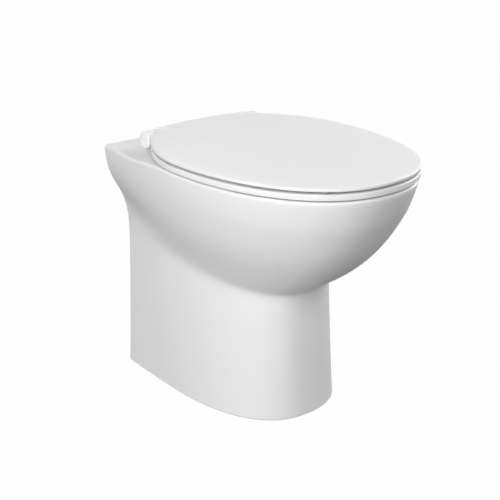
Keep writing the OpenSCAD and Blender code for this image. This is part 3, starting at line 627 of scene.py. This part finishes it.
arms = []
for side in (-1, 1):
    arms.append(rod("knuckle", side * knuckle_in, side * knuckle_out, knuckle))
    arms.append(block("arm", (side * knuckle_in, hinge_back, seat_low + arm_gap),
                      (side * knuckle_out, seat_back + arm_deep, seat_top - arm_gap), 0))
combine(seat, arms, "UNION")
bores = [rod("bore", side * (knuckle_in - past), side * (knuckle_out + past), pin + running, 32)
         for side in (-1, 1)]
bores.append(rod("damper_seat", knuckle_in - past, knuckle_in + damper_long, damper))
combine(seat, bores, "DIFFERENCE")
finish_edges(seat)
seat.data.materials.append(urea)
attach(seat, "seat_body")
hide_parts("seat")
# Grey acetal damper: an oil filled rotary brake, half matt.
acetal = finish("grey_acetal", ("8D9094", "85888C"), (0.38, 0.5), 1.2, 0.008, stain=15.0, IOR=1.48)
softened("seat_damper", 0.4, acetal, "seat_body", 2)
softened("seat_buffers", 0.6, rubber_pale, "seat_body", 3)


# LID
# Slim white shell, about 3.4 mm thick, with a low plain edge, a soft shoulder round it and an almost
# flat top. Barrels at its back corners turn on the pins; two notches clear the hinge posts.
lid_low, lid_edge, lid_thick, lid_lip, lid_foot = 435.7, 4, 3.4, 14, 1
lid_rise, lid_slim, slim_run = 4.9, 2.4, 160
lid_shoulder, back_share, lid_inmost = 20, 0.4, 168
lid_crown, crown_run, crown_start = 3.2, 110, 80
barrel, barrel_in, barrel_out, plug_long = 14, 90.5, 115, 3
post_in, post_out, notch_gap, notch_front, notch_high = 65, 90, 0.6, 15.2, 20
side_gap = 0.5


def ease(t):
    """0 below 0, 1 above 1, and a smooth step between."""
    t = np.clip(t, 0, 1)
    return t * t * (3 - 2 * t)


def lid_ring(inset, drop):
    """Ring of the lid's top at an inset from its edge, or the same ring drop millimetres below."""
    plan = slab(inset, back_share * min(inset, lid_shoulder) + max(0, inset - lid_shoulder))
    onward = plan[:, 1] - 2 * hinge_back
    rise = lid_rise - lid_slim * ease(onward / slim_run)
    z = (lid_low + lid_edge + rise * math.sqrt(1 - (1 - min(inset / lid_shoulder, 1)) ** 2)
         + lid_crown * ease(inset / crown_run) * ease(onward / crown_start))
    return from_wall(plan, z - drop)


shoulder_places = [lid_shoulder * (1 - math.cos(q)) for q in quarter(16)]
flat_places = np.linspace(lid_shoulder, lid_inmost, 40)[1:]
lid_rings = [lid_ring(inset, 0) for inset in [*flat_places[::-1], *shoulder_places[::-1]]]
lid_rings += [from_wall(slab(0, 0), z) for z in (lid_low + 2.4, lid_low + lid_foot)]
for q in quarter(6)[1:]:
    inward = lid_foot * (1 - math.cos(q))
    lid_rings.append(from_wall(slab(inward, inward), lid_low + lid_foot - lid_foot * math.sin(q)))
lid_rings += [from_wall(slab(lid_lip, back_share * lid_lip), lid_low)]
lid_rings += [lid_ring(inset, lid_thick)
              for inset in [lid_lip + 2, 19, 22, 26, *np.linspace(30, lid_inmost, 24)]]
centre = lid_ring(lid_inmost, 0)[:, 2].max()
lid = lathe_like("lid_shell", lid_rings, (0, wall - plan_wide, centre),
                 (0, wall - plan_wide, centre - lid_thick))
rooms = [block("notch", (side * (post_in - notch_gap), -5, lid_low - past),
               (side * (post_out + notch_gap), hinge_back + notch_front, lid_low + notch_high), 0)
         for side in (-1, 1)]
for side in (-1, 1):
    rooms.append(rod("knuckle_room", side * (knuckle_in - side_gap), side * post_in,
                     knuckle + notch_gap, 96))
    rooms.append(rod("cap_room", side * (barrel_out + 0.01), side * (barrel_out + 60),
                     barrel + side_gap, 96))
combine(lid, rooms, "DIFFERENCE")
barrels = [rod("barrel", side * barrel_in, side * barrel_out, barrel, 128) for side in (-1, 1)]
combine(lid, barrels, "UNION")
bores = []
for side, deep in ((-1, plug_long + damper_long), (1, plug_long)):
    bores.append(rod("bore", side * (barrel_in - past), side * (barrel_out - plug_long / 2),
                     pin + running, 32))
    bores.append(rod("plug_seat", side * (barrel_out - deep), side * (barrel_out + past), damper))
combine(lid, bores, "DIFFERENCE")
finish_edges(lid)
lid.data.materials.append(urea)
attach(lid, "lid_body")
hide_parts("lid")
softened("lid_damper", 0.4, acetal, "lid_body", 2)
# The lid's buffers are of a clearer grade, so they hardly show in the gap above the seat.
rubber_clear = finish("clear_pad_rubber", ("C4C7C8", "BCBFC1"), (0.25, 0.35), 1.0, 0.0, stain=10.0,
                      **{"Transmission Weight": 0.5})
softened("lid_buffers", 0.5, rubber_clear, "lid_body", 3)


# BARREL CAPS
# Round white caps plug the outer ends of the lid's barrels and hide pin and damper. Their faces
# are slightly domed and roll over into the barrel.
cap_thick, cap_soft, cap_dome, plug_soft = 3, 2.6, 0.4, 0.3
for name, side in (("left", -1), ("right", 1)):
    profile = [(barrel_out - plug_long, 0), (barrel_out - plug_long, damper - plug_soft),
               (barrel_out - plug_long + plug_soft, damper), (barrel_out, damper), (barrel_out, barrel)]
    profile += [(barrel_out + cap_thick - cap_soft * (1 - math.sin(q)) - cap_dome,
                 barrel - cap_soft * (1 - math.cos(q))) for q in quarter(8)]
    profile += [(barrel_out + cap_thick - cap_dome * (r / (barrel - cap_soft)) ** 2, r)
                for r in (9, 6, 3, 1, 0)]
    cap = hinge_turned("barrel_cap_" + name + "_domed", [(side * x, r) for x, r in profile], 96)
    finish_edges(cap, 40)
    cap.data.materials.append(urea)
    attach(cap, "lid_body")
    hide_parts("barrel_cap_" + name)


# STUDIO
# A sweep of card that the camera sees as almost pure white, with the toilet's faint shadow, in a dim
# white room. Large soft boxes stand left and right, two of them low to light the belly and the
# pedestal; a weak one stands in front of the nose, and two weak ones behind.
card_grey, card_glow, glow_share = "808080", 1.05, 0.93
floor_half = 6.0
room_light, room_seen = 0.1, 1.0
lamp_far, lamp_wide, lamp_aim = 2.4, 1.2, Vector((0, 0, 0.25))
card = bpy.data.materials.new("white_card")
card.use_nodes = True
tree = card.node_tree
tree.nodes.clear()
matt = add(tree, "BsdfPrincipled", {"Base Color": srgb(card_grey), "Roughness": 0.9})
glow = add(tree, "Emission", {"Color": srgb("FFFFFF"), "Strength": card_glow})
seen = add(tree, "LightPath").outputs["Is Camera Ray"]
share = add(tree, "Math", {0: seen, 1: glow_share}, operation="MULTIPLY")
both = add(tree, "MixShader", {"Fac": share.outputs["Value"], 1: matt.outputs["BSDF"],
                               2: glow.outputs["Emission"]})
add(tree, "OutputMaterial", {"Surface": both.outputs["Shader"]})
floor_mesh = bpy.data.meshes.new("floor")
corners = [(-floor_half, -floor_half, 0), (floor_half, -floor_half, 0),
           (floor_half, floor_half, 0), (-floor_half, floor_half, 0)]
floor_mesh.from_pydata(corners, [], [(0, 1, 2, 3)])
floor_mesh.materials.append(card)
floor = bpy.data.objects.new("floor", floor_mesh)
bpy.context.scene.collection.objects.link(floor)


def lamp(name, turned_by, raised_by, power):
    """Square soft box facing the toilet, at a compass turn from the nose and a height in degrees."""
    light = bpy.data.lights.new(name, "AREA")
    light.shape, light.size, light.size_y, light.energy = "RECTANGLE", lamp_wide, lamp_wide, power
    around, up = math.radians(turned_by), math.radians(raised_by)
    outward = Vector((math.sin(around) * math.cos(up), -math.cos(around) * math.cos(up), math.sin(up)))
    holder = bpy.data.objects.new(name, light)
    holder.location = lamp_aim + lamp_far * outward
    holder.rotation_euler = (lamp_aim - holder.location).to_track_quat("-Z", "Y").to_euler()
    bpy.context.scene.collection.objects.link(holder)


lamp("key", -52, 35, 26)
lamp("low_left", -80, 13, 24)
lamp("front", 0, 20, 8)
lamp("right", 85, 35, 28)
lamp("low_right", 88, 8, 14)
lamp("back_left", -150, 40, 3)
lamp("back_right", 160, 40, 3)
world = bpy.data.worlds.new("white_room")
world.use_nodes = True
tree = world.node_tree
tree.nodes.clear()
room = add(tree, "Background", {"Color": srgb("FFFFFF"), "Strength": room_light})
white = add(tree, "Background", {"Color": srgb("FFFFFF"), "Strength": room_seen})
# Camera, transmission and glossy rays see plain white; only the diffuse light of the room is dim.
paths = add(tree, "LightPath")
straight = add(tree, "Math", {0: paths.outputs["Is Camera Ray"], 1: paths.outputs["Is Transmission Ray"]},
               operation="MAXIMUM")
shiny = add(tree, "Math", {0: straight.outputs["Value"], 1: paths.outputs["Is Glossy Ray"]},
            operation="MAXIMUM")
both = add(tree, "MixShader", {"Fac": shiny.outputs["Value"], 1: room.outputs["Background"],
                               2: white.outputs["Background"]})
add(tree, "OutputWorld", {"Surface": both.outputs["Shader"]})
bpy.context.scene.world = world
bpy.context.scene.view_settings.view_transform = "Standard"
